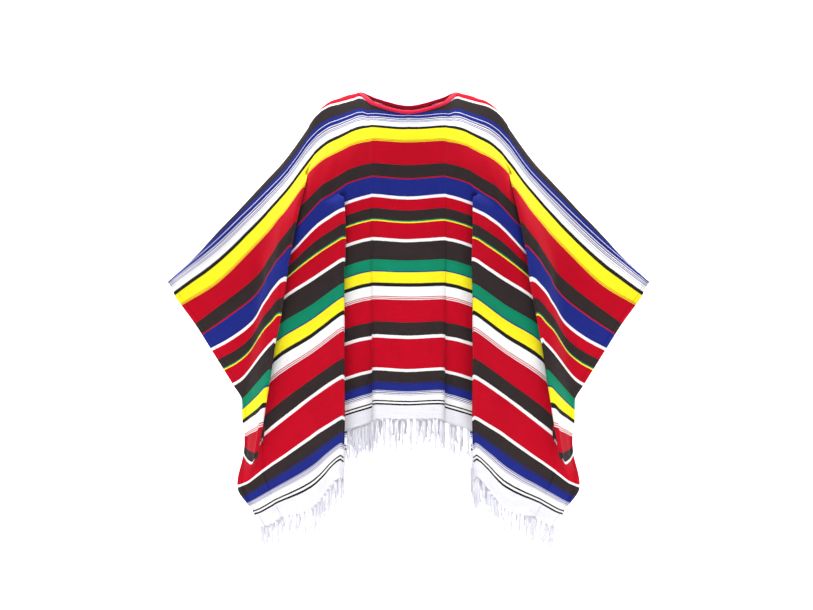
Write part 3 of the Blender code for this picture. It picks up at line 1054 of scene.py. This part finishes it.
def build_studio():
    """A white sweep under and behind the poncho, soft lights, and the photo's straight-on camera."""
    wall = SWEEP_FROM + SWEEP_ROUND
    profile = [(-19.0, FLOOR_Z), (SWEEP_FROM, FLOOR_Z)]
    for k in range(1, 9):
        turn = math.pi / 2 * k / 9
        out = SWEEP_ROUND * math.sin(turn)
        profile.append((SWEEP_FROM + out, FLOOR_Z + SWEEP_ROUND * (1 - math.cos(turn))))
    profile += [(wall, FLOOR_Z + SWEEP_ROUND), (wall, 6.0)]
    points = [(x, y, z) for y, z in profile for x in (-SWEEP_HALF, SWEEP_HALF)]
    faces = [(2 * k, 2 * k + 1, 2 * k + 3, 2 * k + 2) for k in range(len(profile) - 1)]
    white = material("sweep_white", 0.9, 0.0)
    white.node_tree.nodes["Principled BSDF"].inputs["Base Color"].default_value = (0.95, 0.95, 0.95, 1)
    open_from_behind(white)
    sweep = new_object("studio_sweep", points, faces, white)
    world = bpy.data.worlds.new("studio_world")
    world.use_nodes = True
    world.node_tree.nodes["Background"].inputs["Color"].default_value = (1, 1, 1, 1)
    world.node_tree.nodes["Background"].inputs["Strength"].default_value = 0.28
    bpy.context.scene.world = world
    bpy.context.scene.view_settings.view_transform = "Standard"
    for light in LIGHTS:
        soft_light(light["name"], light["place"], light["target"], light["size"], light["power"])
    data = bpy.data.cameras.new("camera")
    data.sensor_width = SENSOR_MM
    data.lens = SENSOR_MM * CAMERA_FAR / (PHOTO_WIDE * UNIT)
    camera = bpy.data.objects.new("camera", data)
    bpy.context.scene.collection.objects.link(camera)
    across = (PHOTO_CENTRE[0] - ORIGIN_PIXEL[0]) * UNIT
    up = (ORIGIN_PIXEL[1] - PHOTO_CENTRE[1]) * UNIT
    camera.location = (across, CAMERA_PLANE - CAMERA_FAR, up)
    camera.rotation_euler = (math.pi / 2, 0, 0)
    bpy.context.scene.camera = camera


cloth_material = woven_cloth()
tape_material = plain_yarn("red_tape", (0.56, 0.008, 0.04), 0.85, 0.3)
# The white fringe yarn gets a grey lavender colour, which is painted shade so that it stands out from the
# white backdrop.
shaded_yarn_material = plain_yarn("white_yarn", (0.72, 0.72, 0.79), 0.85, 0.15)

front = full_grid(front_point, NECK_FRONT, fine_levels(FRONT_ROWS))
back = full_grid(back_point, NECK_BACK, fine_levels(BACK_ROWS))
front = creased(front, grid_normals(front, False))
back = creased(back, grid_normals(back, True))
front_normals = grid_normals(front, False)
back_normals = grid_normals(back, True)

serape = build_cloth(front, back, cloth_material)
cloth_tree = BVHTree.FromPolygons(*both_halves(front, back))
binding = build_binding(neck_edge(front, front_normals, back, back_normals), cloth_tree, tape_material)
tab = build_tab(tape_material)
front_yarn = build_fringe("front_yarn", front, front_normals, shaded_yarn_material)
back_yarn = build_fringe("back_yarn", back, back_normals, shaded_yarn_material)

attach(serape, "root")
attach(binding, "root")
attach(tab, "root")
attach(front_yarn, "root")
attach(back_yarn, "root")
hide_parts("front_cloth", "back_cloth")
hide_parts("neck_binding")
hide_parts("neck_tab")
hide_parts("front_fringe")
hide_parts("back_fringe")
build_studio()
